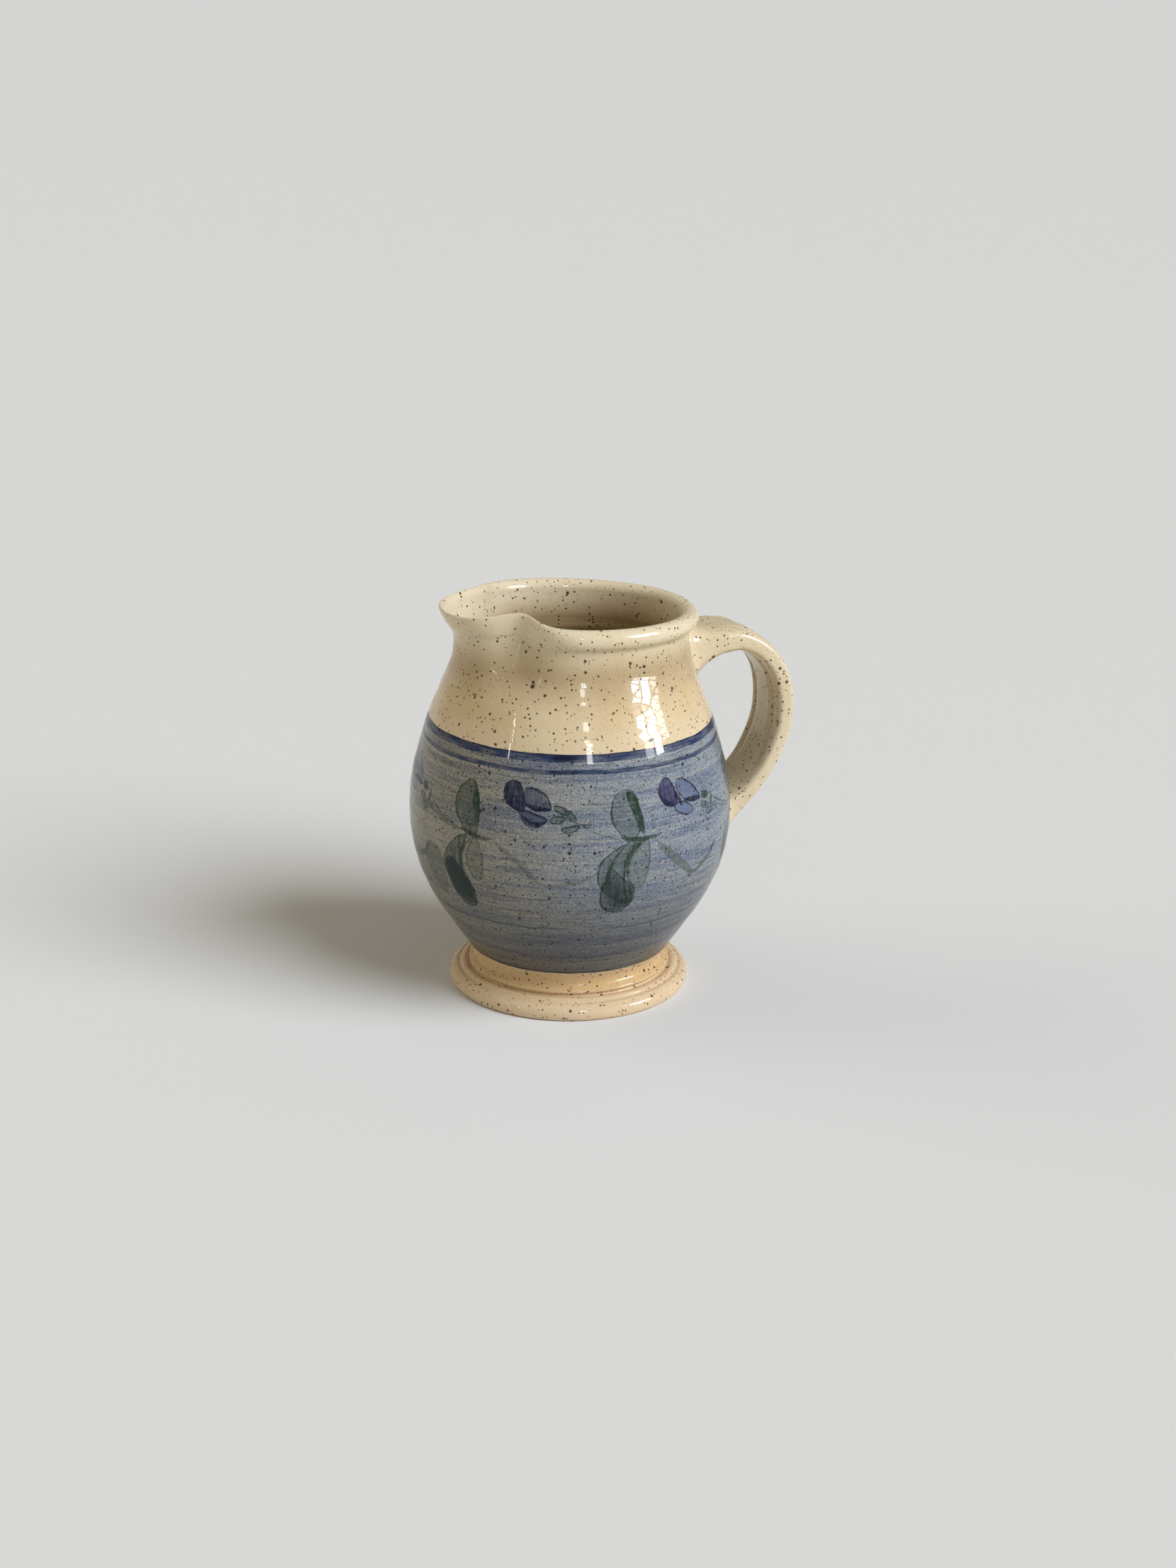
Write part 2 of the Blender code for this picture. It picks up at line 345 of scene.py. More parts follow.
def root(ring, along, centre_height, half_height, half_width, sign, crease):
    """Rings that carry the strap's end ring to the wall, with the clay smeared outwards at the joint."""
    across, out, _ = strap_outline()
    profile = through(BODY_OUTSIDE, 12)
    across = np.sign(across) * np.abs(across) ** 1.35
    height = centre_height + sign * out * half_height
    landing = on_wall(across * half_width, height, profile)
    centre = on_wall(np.zeros(1), np.array([centre_height]), profile)[0]
    spread = landing - centre
    spread /= np.linalg.norm(spread, axis=1)[:, None]
    inward = np.column_stack([-landing[:, 0], -landing[:, 1], np.zeros(len(landing))])
    inward /= np.linalg.norm(inward, axis=1)[:, None]
    gap = np.linalg.norm(landing - ring, axis=1)[:, None]
    leave = np.array(along) * gap * 0.9
    arrive = (spread * 0.75 + inward * crease) * gap * 0.85
    rings = []
    # A Hermite curve takes each point of the ring to its landing.
    for t in np.linspace(0, 1, ROOT_RINGS + 1)[1:]:
        h00, h10 = 2 * t**3 - 3 * t**2 + 1, t**3 - 2 * t**2 + t
        h01, h11 = -2 * t**3 + 3 * t**2, t**3 - t**2
        rings.append(h00 * ring + h10 * leave + h01 * landing + h11 * arrive)
    # The last two rings end inside the wall.
    rings.append(landing + inward)
    rings.append(centre + (landing - centre) * 0.9 + inward * 2.6)
    return rings


def strap():
    """(points, faces) of the handle, from inside the neck's wall to inside the belly's."""
    route = through(STRAP_ROUTE, 8)
    across, out, relief = strap_outline()
    rings = []
    for index, (reach, height, thickness, width) in enumerate(route):
        before, after = route[max(index - 1, 0)], route[min(index + 1, len(route) - 1)]
        run = np.array([after[0] - before[0], 0.0, after[1] - before[1]])
        run /= np.linalg.norm(run)
        outwards = np.array([-run[2], 0.0, run[0]])
        sag = 0.25 * math.sin(index / 9.0)
        worked = smooth(0.0, 18.0, index) * smooth(0.0, 14.0, len(route) - 1 - index)
        depth = out * (1 + (relief - 1) * worked) * thickness * STRAP_THICKNESS / 2
        ring = np.array([reach, 0.0, height]) + np.outer(depth, outwards)
        ring[:, 1] += across * width * STRAP_WIDTH / 2 + sag
        rings.append(ring)
    rings = [*reversed(root(rings[0], *UPPER_ROOT)), *rings, *root(rings[-1], *LOWER_ROOT)]
    points = np.vstack([*rings, rings[0].mean(0), rings[-1].mean(0)])
    faces = []
    step = np.arange(STRAP_SIDES)
    following = (step + 1) % STRAP_SIDES
    for row in range(len(rings) - 1):
        low, high = row * STRAP_SIDES, (row + 1) * STRAP_SIDES
        faces += np.column_stack([low + step, high + step, high + following, low + following]).tolist()
    first, last = len(points) - 2, len(points) - 1
    top = (len(rings) - 1) * STRAP_SIDES
    faces += [(first, int(a), int(b)) for a, b in zip(step, following)]
    faces += [(last, int(top + b), int(top + a)) for a, b in zip(step, following)]
    return points, faces


# ---------------------------------------------------------------- shader nodes


class Sheet:
    """Writes shader nodes into a tree as if they were formulas."""

    def __init__(self, tree):
        self.tree = tree

    def node(self, kind, **settings):
        made = self.tree.nodes.new(kind)
        for key, value in settings.items():
            setattr(made, key, value)
        return made

    def put(self, socket, value):
        if isinstance(value, bpy.types.NodeSocket):
            self.tree.links.new(value, socket)
        elif isinstance(value, tuple) and socket.type == "RGBA" and len(value) == 3:
            socket.default_value = (*value, 1.0)
        else:
            socket.default_value = value

    def math(self, operation, *values, clamp=False):
        made = self.node("ShaderNodeMath", operation=operation, use_clamp=clamp)
        for socket, value in zip(made.inputs, values):
            self.put(socket, value)
        return made.outputs[0]

    def product(self, first, *others):
        for other in others:
            first = self.math("MULTIPLY", first, other)
        return first

    def vector(self, operation, *values):
        made = self.node("ShaderNodeVectorMath", operation=operation)
        for socket, value in zip(made.inputs, values):
            self.put(socket, value)
        return made.outputs["Value" if operation in ("DOT_PRODUCT", "LENGTH") else "Vector"]

    def rise(self, value, low, high, start=0.0, end=1.0):
        """start below low, end above high, and a smooth change between them."""
        made = self.node("ShaderNodeMapRange", interpolation_type="SMOOTHSTEP")
        sockets = {"Value": value, "From Min": low, "From Max": high, "To Min": start, "To Max": end}
        for key, given in sockets.items():
            self.put(made.inputs[key], given)
        return made.outputs["Result"]

    def mix(self, share, first, second, blend="MIX"):
        made = self.node("ShaderNodeMix", data_type="RGBA", blend_type=blend)
        self.put(made.inputs[0], share)
        self.put(made.inputs[6], first)
        self.put(made.inputs[7], second)
        return made.outputs[2]

    def noise(self, where, scale, detail=2.0, out="Fac"):
        made = self.node("ShaderNodeTexNoise")
        self.put(made.inputs["Vector"], where)
        made.inputs["Scale"].default_value = scale
        made.inputs["Detail"].default_value = detail
        return made.outputs[out]

    def cells(self, where, scale, feature="F1"):
        made = self.node("ShaderNodeTexVoronoi", feature=feature)
        self.put(made.inputs["Vector"], where)
        made.inputs["Scale"].default_value = scale
        return made.outputs

    def stretched(self, where, across, up):
        return self.vector("MULTIPLY", where, (across, across, up))

    def split(self, place):
        made = self.node("ShaderNodeSeparateXYZ")
        self.put(made.inputs[0], place)
        return made.outputs

    def flat_place(self, across, up):
        made = self.node("ShaderNodeCombineXYZ")
        self.put(made.inputs[0], across)
        self.put(made.inputs[1], up)
        return made.outputs[0]

    def use(self, tree, values):
        """The outputs of a node group that is given these values."""
        made = self.node("ShaderNodeGroup", node_tree=tree)
        for key, value in values.items():
            self.put(made.inputs[key], value)
        return made.outputs


def group(name, inputs, outputs):
    """A node group with these sockets: (its sheet, the sockets it is given, the sockets of its result)."""
    tree = bpy.data.node_groups.new(name, "ShaderNodeTree")
    for key, kind in inputs:
        tree.interface.new_socket(key, in_out="INPUT", socket_type=kind)
    for key, kind in outputs:
        tree.interface.new_socket(key, in_out="OUTPUT", socket_type=kind)
    sheet = Sheet(tree)
    return sheet, sheet.node("NodeGroupInput").outputs, sheet.node("NodeGroupOutput").inputs


FLOAT, VECTOR, COLOUR = "NodeSocketFloat", "NodeSocketVector", "NodeSocketColor"


def brush_group():
    """One brush stroke on the glaze, laid over the colour under it. Lengths are in millimetres."""
    inputs = [("Place", VECTOR), ("Under", COLOUR), ("Pigment", COLOUR), ("Base", VECTOR), ("Along", VECTOR)]
    inputs += [("Across", VECTOR), ("Half width", FLOAT), ("Bend", FLOAT), ("Skew", FLOAT), ("Wash", FLOAT)]
    inputs += [("Edge", FLOAT), ("Tip", FLOAT), ("Soft", FLOAT), ("Streak", FLOAT)]
    sheet, given, result = group("brush_stroke", inputs, [("Colour", COLOUR)])
    reach = sheet.vector("SUBTRACT", given["Place"], given["Base"])
    along = sheet.math("ADD", sheet.vector("DOT_PRODUCT", reach, given["Along"]), 0.0, clamp=True)
    across = sheet.vector("DOT_PRODUCT", reach, given["Across"])
    skewed = sheet.math("POWER", along, given["Skew"])
    hump = sheet.math("SQRT", sheet.product(skewed, sheet.math("SUBTRACT", 1.0, skewed), 4.0))
    arch = sheet.product(along, sheet.math("SUBTRACT", 1.0, along), 4.0, given["Bend"])
    offset = sheet.math("ABSOLUTE", sheet.math("SUBTRACT", across, arch))
    depth = sheet.math("SUBTRACT", sheet.math("MULTIPLY", given["Half width"], hump), offset)
    inside = sheet.rise(depth, 0.0, given["Soft"])
    edge = sheet.rise(depth, 0.3, 1.5, 1.0, 0.0)
    dense = sheet.math("MULTIPLY_ADD", sheet.math("SUBTRACT", given["Edge"], given["Wash"]), edge, given["Wash"])
    dense = sheet.math("MULTIPLY_ADD", sheet.math("MULTIPLY", along, along), given["Tip"], dense)
    dense = sheet.math("MULTIPLY", dense, given["Streak"])
    share = sheet.math("MULTIPLY", dense, inside, clamp=True)
    sheet.put(result["Colour"], sheet.mix(share, given["Under"], given["Pigment"]))
    return sheet.tree


# (cells per millimetre, largest radius as a share of a cell, how rare the large ones are) of each size of speck.
SPECK_SIZES = [(0.62, 0.38, 1.6), (0.3, 0.29, 2.4), (0.13, 0.165, 2.8)]


def speck_group():
    """Iron specks that burn through the glaze, in three sizes."""
    sheet, given, result = group("iron_specks", [("Place", VECTOR), ("Amount", FLOAT)], [("Specks", FLOAT)])
    wobble = sheet.noise(given["Place"], 1.6, 1.0, out="Color")
    place = sheet.vector("MULTIPLY_ADD", wobble, (0.5, 0.5, 0.5), given["Place"])
    total = None
    for scale, size, rarity in SPECK_SIZES:
        found = sheet.cells(place, scale)
        chance = sheet.vector("DOT_PRODUCT", found["Color"], (1.0, 0.0, 0.0))
        radius = sheet.product(sheet.math("POWER", chance, rarity), size, given["Amount"])
        spot = sheet.math("DIVIDE", found["Distance"], sheet.math("MAXIMUM", radius, 0.001))
        spot = sheet.rise(spot, 0.55, 1.08, 1.0, 0.0)
        total = spot if total is None else sheet.math("MAXIMUM", total, spot)
    sheet.put(result["Specks"], total)
    return sheet.tree


CREAM = (0.69, 0.545, 0.345)
CREAM_PALE = (0.72, 0.62, 0.43)
CREAM_CLOUD = (0.6, 0.43, 0.21)
CREAM_OCHRE = (0.55, 0.37, 0.15)
CREAM_GRAIN = (0.42, 0.29, 0.14)
CREAM_LIGHT = (0.8, 0.7, 0.5)
CRACK = (0.3, 0.2, 0.09)
SPECK = (0.03, 0.013, 0.005)
# Tints that the cream is multiplied by: painted shade under the rim's bead, with pooled glaze; painted shade inside
# the pot, in streaks along the rings; and a warmer tone on the foot.
BEAD_SHADE_AND_POOL_TINT = (0.5, 0.44, 0.36)
INSIDE_SHADE_TINT = (0.5, 0.42, 0.28)
WARM_TINT = (0.96, 0.7, 0.6)
# How deep the glaze's skin dips, in millimetres.
SKIN_DEPTH = 0.12


def cream_group(specks):
    """The cream glaze: colour, and the height of its skin."""
    inputs = [("Place", VECTOR), ("Ochre", FLOAT), ("Pale", FLOAT)]
    sheet, given, result = group("cream_glaze", inputs, [("Colour", COLOUR), ("Height", FLOAT)])
    place = given["Place"]
    cloud = sheet.noise(place, 0.045, 3.0)
    colour = sheet.mix(given["Pale"], CREAM, CREAM_PALE)
    colour = sheet.mix(sheet.rise(cloud, 0.35, 0.7, 0.0, 0.22), colour, CREAM_CLOUD)
    colour = sheet.mix(given["Ochre"], colour, CREAM_OCHRE)
    grain = sheet.noise(place, 1.1, 3.0)
    colour = sheet.mix(sheet.rise(grain, 0.52, 0.75, 0.0, 0.22), colour, CREAM_GRAIN)
    colour = sheet.mix(sheet.rise(grain, 0.28, 0.46, 0.18, 0.0), colour, CREAM_LIGHT)
    crazed = sheet.cells(place, 0.2, "DISTANCE_TO_EDGE")["Distance"]
    crack = sheet.math("MULTIPLY", sheet.rise(crazed, 0.004, 0.02, 0.2, 0.0), cloud)
    colour = sheet.mix(crack, colour, CRACK)
    iron = sheet.use(specks, {"Place": place, "Amount": 1.0})["Specks"]
    colour = sheet.mix(sheet.math("MULTIPLY", iron, 0.93), colour, SPECK)
    height = sheet.math("MULTIPLY_ADD", iron, -0.35, sheet.noise(place, 0.28, 2.0))
    sheet.put(result["Colour"], colour)
    sheet.put(result["Height"], height)
    return sheet.tree


def glaze_material(name, roughness, coat):
    """(material, sheet, the shader, position round the turning axis in millimetres)."""
    material = bpy.data.materials.new(name)
    material.use_nodes = True
    sheet = Sheet(material.node_tree)
    shader = material.node_tree.nodes["Principled BSDF"]
    shader.inputs["Roughness"].default_value = roughness
    shader.inputs["IOR"].default_value = 1.5
    shader.inputs["Specular IOR Level"].default_value = 0.06
    shader.inputs["Coat Weight"].default_value = coat
    shader.inputs["Coat Roughness"].default_value = 0.03
    place = sheet.vector("SCALE", sheet.node("ShaderNodeTexCoord").outputs["Object"])
    place.node.inputs["Scale"].default_value = 1 / MM
    return material, sheet, shader, place


def bump(sheet, shader, height):
    made = sheet.node("ShaderNodeBump")
    made.inputs["Strength"].default_value = 1.0
    made.inputs["Distance"].default_value = SKIN_DEPTH * MM
    sheet.put(made.inputs["Height"], height)
    sheet.put(shader.inputs["Normal"], made.outputs["Normal"])


# ---------------------------------------------------------------- the painted plants

# The painter goes round the belly in three repeats, each of two plants. Distances along the belly and heights
# are in millimetres. 0 is where the first plant's leaves meet, and the second plant's meet at SECOND.
ROUND = 68.0
REPEAT = ROUND * math.tau / 3
SECOND = REPEAT / 2
SEAM = -22.0
# Angles round the axis: of the middle of the view, and of the first plant from there.
FACES_VIEWER = math.radians(-110)
FIRST_MEETS = math.radians(-37.5)

GREEN = (0.02, 0.042, 0.026)
DEEP_GREEN = (0.008, 0.02, 0.016)
GREY_GREEN = (0.075, 0.09, 0.065)
NAVY = (0.006, 0.009, 0.028)
COBALT = (0.02, 0.03, 0.066)
SLATE = (0.085, 0.102, 0.145)
MAUVE = (0.06, 0.05, 0.12)
MIST = (0.13, 0.16, 0.26)
LINE_BLUE = (0.016, 0.03, 0.082)
LINE_EDGE = (0.01, 0.013, 0.035)
LOWER_EDGE_AND_SHADE = (0.02, 0.024, 0.04)
IRON_IN_SLIP = (0.012, 0.01, 0.009)

# (start, end, half width, bend, skew, pigment, wash, edge, tip, softness)
FIRST_PLANT = [
    ((12.0, 88.2), (34.0, 69.0), 1.9, 0.8, 1.0, GREY_GREEN, 0.5, 0.5, 0.1, 1.2),
    ((29.5, 70.8), (59.0, 78.5), 1.2, -4.4, 1.0, GREY_GREEN, 0.5, 0.5, 0.0, 0.9),
    ((4.6, 88.2), (4.8, 67.0), 4.6, -1.0, 1.3, GREY_GREEN, 0.42, 0.85, 0.0, 0.4),
    ((4.0, 88.0), (-1.2, 110.8), 6.8, 2.2, 1.25, GREEN, 0.5, 0.94, 0.1, 0.4),
    ((4.6, 90.5), (1.8, 109.8), 2.0, -0.6, 1.3, GREEN, 0.8, 0.8, 0.0, 0.9),
    ((0.4, 88.4), (0.2, 57.0), 5.9, -8.7, 1.35, GREEN, 0.62, 0.96, 0.1, 0.4),
    ((-10.6, 75.0), (0.4, 55.5), 6.5, -0.8, 0.95, DEEP_GREEN, 0.9, 0.9, 0.0, 0.9),
    ((-10.6, 74.0), (0.6, 53.4), 6.4, -0.4, 1.6, DEEP_GREEN, 0.75, 0.98, 0.0, 0.5),
    ((3.0, 87.2), (0.4, 67.0), 1.5, -5.0, 1.0, GREEN, 0.8, 0.7, 0.0, 0.7),
    ((0.8, 88.7), (-29.2, 102.7), 0.9, 3.0, 1.0, GREEN, 0.72, 0.6, -0.2, 0.5),
    ((-2.7, 87.8), (-30.0, 97.8), 0.8, 1.2, 1.0, GREEN, 0.6, 0.5, -0.2, 0.5),
    ((-3.6, 90.4), (14.0, 88.4), 1.4, -1.4, 0.8, GREEN, 0.95, 0.8, -0.3, 0.5),
    ((25.4, 101.2), (18.8, 113.4), 4.4, 0.6, 1.35, COBALT, 0.84, 0.5, 0.0, 0.5),
    ((25.4, 101.0), (18.6, 113.6), 4.7, 0.6, 1.35, NAVY, 0.45, 0.98, 0.0, 0.4),
    ((37.4, 103.2), (25.6, 111.2), 4.1, 1.0, 1.25, SLATE, 0.74, 0.5, 0.0, 0.5),
    ((37.6, 103.0), (25.4, 109.8), 4.4, -0.2, 1.3, NAVY, 0.34, 0.98, 0.0, 0.4),
    ((37.4, 103.2), (24.8, 105.6), 1.5, 1.0, 1.0, NAVY, 0.95, 0.8, 0.0, 0.8),
    ((36.6, 98.8), (23.9, 101.4), 3.3, 1.4, 1.35, SLATE, 0.7, 0.5, 0.0, 0.5),
    ((36.4, 98.7), (23.8, 101.2), 3.5, 1.7, 1.35, NAVY, 0.34, 0.98, 0.0, 0.4),
    ((35.4, 98.2), (24.0, 100.6), 1.5, 2.4, 1.0, NAVY, 0.95, 0.8, 0.0, 0.8),
    ((23.6, 101.6), (18.4, 113.0), 2.0, 3.0, 1.0, NAVY, 0.8, 0.6, 0.0, 1.3),
    ((45.0, 101.0), (38.4, 104.6), 1.8, 0.1, 1.2, GREEN, 0.45, 0.95, 0.0, 0.4),
    ((43.6, 99.4), (36.8, 98.2), 2.0, -0.1, 1.2, GREEN, 0.4, 0.95, 0.0, 0.4),
    ((48.4, 98.8), (43.0, 102.4), 1.6, 0.0, 1.2, GREEN, 0.4, 0.9, 0.0, 0.4),
    ((49.5, 96.6), (41.4, 94.6), 1.8, 0.3, 1.2, GREEN, 0.4, 0.95, 0.0, 0.4),
    ((41.0, 101.6), (50.5, 97.3), 0.7, -0.6, 1.0, DEEP_GREEN, 0.6, 0.6, 0.0, 0.5),
    ((54.0, 96.8), (49.8, 96.9), 1.5, 0.3, 1.0, DEEP_GREEN, 0.5, 0.6, 0.0, 0.7),
    ((53.0, 95.0), (67.0, 88.9), 0.5, -0.5, 1.0, GREEN, 0.6, 0.5, 0.0, 0.4),
]
SECOND_PLANT = [
    ((10.0, 88.6), (33.0, 66.5), 2.4, -0.8, 1.2, GREY_GREEN, 0.48, 0.7, 0.3, 1.0),
    ((31.0, 67.0), (48.5, 79.5), 1.4, -2.6, 0.8, GREEN, 0.4, 0.75, 0.0, 0.6),
    ((6.6, 89.0), (2.6, 66.4), 5.0, -1.6, 1.3, GREY_GREEN, 0.34, 0.85, 0.0, 0.4),
    ((0.4, 88.8), (-2.8, 110.6), 7.1, 1.2, 1.15, GREEN, 0.4, 0.92, 0.0, 0.4),
    ((5.0, 90.2), (-1.4, 109.8), 2.4, -1.0, 1.25, GREEN, 0.9, 0.9, 0.0, 0.6),
    ((2.4, 90.2), (-2.4, 59.0), 6.4, -9.2, 1.35, GREEN, 0.45, 0.96, 0.1, 0.4),
    ((-11.0, 74.5), (-2.6, 57.6), 6.8, 0.0, 0.95, DEEP_GREEN, 0.35, 0.35, 0.1, 2.4),
    ((-9.4, 78.0), (-4.8, 55.9), 7.6, 0.0, 1.9, DEEP_GREEN, 0.35, 0.98, 0.35, 0.5),
    ((-3.0, 72.0), (-1.5, 57.0), 2.0, 3.0, 1.3, GREEN, 0.7, 0.8, 0.0, 0.8),
    ((-2.0, 89.0), (-9.0, 60.0), 1.3, -4.8, 1.2, GREEN, 0.7, 0.7, 0.0, 0.7),
    ((8.6, 89.6), (-1.6, 70.5), 1.6, -5.6, 0.9, GREEN, 0.9, 0.8, 0.0, 0.6),
    ((3.6, 89.2), (-7.0, 80.0), 0.6, -0.8, 1.0, GREEN, 0.5, 0.5, 0.0, 0.5),
    ((-5.4, 90.6), (14.5, 90.0), 1.3, -1.5, 0.8, GREEN, 0.95, 0.8, -0.3, 0.5),
    ((21.8, 100.0), (16.2, 111.9), 4.4, 0.9, 1.3, MAUVE, 0.84, 0.6, 0.0, 0.4),
    ((22.0, 99.8), (16.0, 112.1), 4.7, 0.9, 1.3, NAVY, 0.3, 0.95, 0.0, 0.4),
    ((22.4, 100.2), (13.8, 105.6), 1.9, 1.2, 1.0, NAVY, 0.86, 0.8, 0.0, 1.2),
    ((36.8, 100.2), (23.8, 110.4), 3.9, 1.0, 1.25, MIST, 0.62, 0.5, 0.0, 0.5),
    ((37.0, 100.0), (23.6, 110.4), 4.1, 1.0, 1.25, NAVY, 0.14, 0.96, 0.0, 0.4),
    ((37.2, 100.1), (25.0, 101.4), 1.3, -0.4, 0.7, NAVY, 0.85, 0.8, 0.0, 0.6),
    ((20.6, 99.6), (30.8, 96.4), 3.1, 0.2, 1.0, MIST, 0.75, 0.4, 0.0, 0.4),
    ((20.4, 99.7), (31.0, 96.3), 3.2, 0.2, 1.0, NAVY, 0.12, 0.95, 0.0, 0.4),
    ((22.0, 106.6), (25.6, 98.8), 1.5, -0.4, 1.0, NAVY, 0.9, 0.8, 0.0, 0.8),
    ((43.4, 99.2), (38.0, 101.8), 2.2, 0.1, 1.1, GREEN, 0.92, 0.8, 0.0, 0.5),
    ((45.6, 101.0), (43.8, 94.0), 1.1, 0.6, 1.0, GREEN, 0.85, 0.8, 0.0, 0.5),
    ((43.0, 94.2), (36.6, 97.2), 2.0, -0.1, 1.1, GREEN, 0.45, 0.85, 0.0, 0.5),
    ((46.4, 93.4), (39.6, 92.4), 1.9, 0.3, 1.1, GREEN, 0.5, 0.85, 0.0, 0.5),
    ((45.0, 94.8), (51.0, 92.6), 1.3, 0.6, 1.0, GREEN, 0.3, 0.7, 0.0, 0.5),
    ((72.0, 88.7), (42.0, 102.0), 0.8, 3.0, 1.0, GREEN, 0.5, 0.5, -0.2, 0.5),
    ((69.7, 87.8), (44.0, 95.6), 0.8, 1.2, 1.0, GREEN, 0.5, 0.5, -0.2, 0.5),
]
# Strokes that come only once: where the brush for the lines was set down, and a spare leaf.
SINGLE_STROKES = [
    ((-8.5, 123.9), (5.0, 123.9), 1.7, 0.0, 1.0, NAVY, 0.95, 0.7, 0.0, 0.8),
    ((-9.5, 118.3), (5.5, 118.3), 1.2, 0.0, 1.0, NAVY, 0.6, 0.5, 0.0, 0.6),
    ((-61.0, 53.0), (-68.5, 78.0), 8.0, 0.0, 1.7, GREY_GREEN, 0.6, 0.8, 0.0, 0.8),
]
# (from height, to height, darkness) of the lines at the shoulder, and of the rings low on the belly.
SHOULDER_LINES = [(121.9, 125.6, 0.96), (117.0, 119.4, 0.88), (114.5, 115.5, 0.3)]
LOW_RINGS = [(60.0, 63.0, 0.3), (54.5, 57.0, 0.35), (46.2, 48.2, 0.7), (37.0, 41.0, 0.45), (29.0, 31.5, 0.5)]

# Colours of the slip on its grey side and on the side towards the key light, and of the blue streaks in each: the
# cooler colours on the lit side are painted light.
SLIP_GREY, SLIP_LIT_SIDE = (0.29, 0.27, 0.215), (0.24, 0.275, 0.315)
STREAK_GREY, STREAK_LIT_SIDE = (0.095, 0.105, 0.135), (0.075, 0.105, 0.195)
SLIP_THIN = (0.42, 0.38, 0.29)
SLIP_HAIRS = (0.07, 0.07, 0.075)
SLIP_GRAIN = (0.045, 0.042, 0.04)
SLIP_BARE = (0.5, 0.44, 0.33)
SLIP_FLECK = (0.04, 0.035, 0.03)
SLIP_RING = (0.035, 0.05, 0.11)
SLIP_LOW_AND_SHADE = (0.05, 0.045, 0.036)


def paint(sheet, brush, place, colour, streak, strokes, shift=0.0):
    for start, end, half_width, bend, skew, pigment, wash, edge, tip, soft in strokes:
        base = Vector((start[0] + shift, start[1], 0.0))
        run = Vector((end[0] + shift, end[1], 0.0)) - base
        along = run / run.length_squared
        across = Vector((-run.y, run.x, 0.0)).normalized()
        values = {"Place": place, "Under": colour, "Pigment": pigment, "Base": tuple(base), "Along": tuple(along)}
        values |= {"Across": tuple(across), "Half width": half_width, "Bend": bend, "Skew": skew, "Wash": wash}
        values |= {"Edge": edge, "Tip": tip, "Soft": soft, "Streak": streak}
        colour = sheet.use(brush, values)["Colour"]
    return colour


def band(sheet, height, low, high, soft=0.35):
    return sheet.product(sheet.rise(height, low, low + soft), sheet.rise(height, high - soft, high, 1.0, 0.0))


def slip_colour(sheet, place, sway):
    """The blue-grey slip, brushed on while the pot turned."""
    height = sheet.split(place)[2]
    wash = sheet.noise(sheet.stretched(place, 0.013, 0.16), 1.0, 3.0)
    fine = sheet.noise(sheet.stretched(place, 0.03, 1.0), 1.0, 3.0)
    hairs = sheet.noise(sheet.stretched(place, 0.14, 2.8), 1.0, 2.0)
    grain = sheet.noise(sheet.stretched(place, 1.2, 2.2), 1.0, 3.0)
    fleck = sheet.noise(place, 2.6, 2.0)
    # Painted light: the slip is cooler and bluer on the side that faces the cool key light.
    side = sheet.vector("DOT_PRODUCT", place, (0.5, -0.866, 0.0))
    lit_side = sheet.rise(sheet.math("MULTIPLY_ADD", wash, 60.0, side), 20.0, 108.0)
    slip = sheet.mix(lit_side, SLIP_GREY, SLIP_LIT_SIDE)
    blue = sheet.mix(lit_side, STREAK_GREY, STREAK_LIT_SIDE)
    slip = sheet.mix(sheet.rise(wash, 0.45, 0.68, 0.0, 0.6), slip, blue)
    slip = sheet.mix(sheet.rise(fine, 0.5, 0.7, 0.0, 0.65), slip, blue)
    slip = sheet.mix(sheet.rise(fine, 0.32, 0.46, 0.4, 0.0), slip, SLIP_THIN)
    slip = sheet.mix(sheet.rise(hairs, 0.52, 0.7, 0.0, 0.5), slip, SLIP_HAIRS)
    slip = sheet.mix(sheet.rise(grain, 0.53, 0.66, 0.0, 0.62), slip, SLIP_GRAIN)
    slip = sheet.mix(sheet.rise(grain, 0.34, 0.45, 0.55, 0.0), slip, SLIP_BARE)
    slip = sheet.mix(sheet.rise(fleck, 0.6, 0.7, 0.0, 0.6), slip, SLIP_FLECK)
    # Where the brush was last loaded, low on the belly, it left darker rings.
    patchy = sheet.rise(sheet.noise(sheet.stretched(place, 0.03, 0.2), 1.0, 2.0), 0.35, 0.6)
    wavy = sheet.math("MULTIPLY_ADD", sheet.vector("DOT_PRODUCT", sway, (0.0, 1.0, 0.0)), 1.5, height)
    for low, high, dark in LOW_RINGS:
        slip = sheet.mix(sheet.product(band(sheet, wavy, low, high, 0.9), patchy, dark), slip, SLIP_RING)
    # Darker and browner towards the bottom of the belly: partly the slip's own colour, partly painted shade where
    # the lower belly faces down.
    return sheet.mix(sheet.rise(height, 24.0, 84.0, 0.62, 0.0), slip, SLIP_LOW_AND_SHADE)


def plants(sheet, brush, place, turn, sway, slip):
    """The two plants on the slip, three times round."""
    round_first = sheet.math("SUBTRACT", turn, FIRST_MEETS * ROUND)
    along = sheet.math("WRAP", round_first, SEAM + REPEAT, SEAM)
    canvas = sheet.vector("ADD", sheet.flat_place(along, sheet.split(place)[2]), sway)
    bristles = sheet.noise(sheet.vector("MULTIPLY", canvas, (1.0, 0.1, 0.0)), 1.0, 3.0)
    thinned = sheet.rise(sheet.noise(place, 0.45, 2.0), 0.3, 0.7, 0.8, 1.12)
    streak = sheet.product(thinned, sheet.rise(bristles, 0.35, 0.65, 0.84, 1.2))
    painted = paint(sheet, brush, canvas, slip, streak, FIRST_PLANT)
    return paint(sheet, brush, canvas, painted, streak, SECOND_PLANT, SECOND)


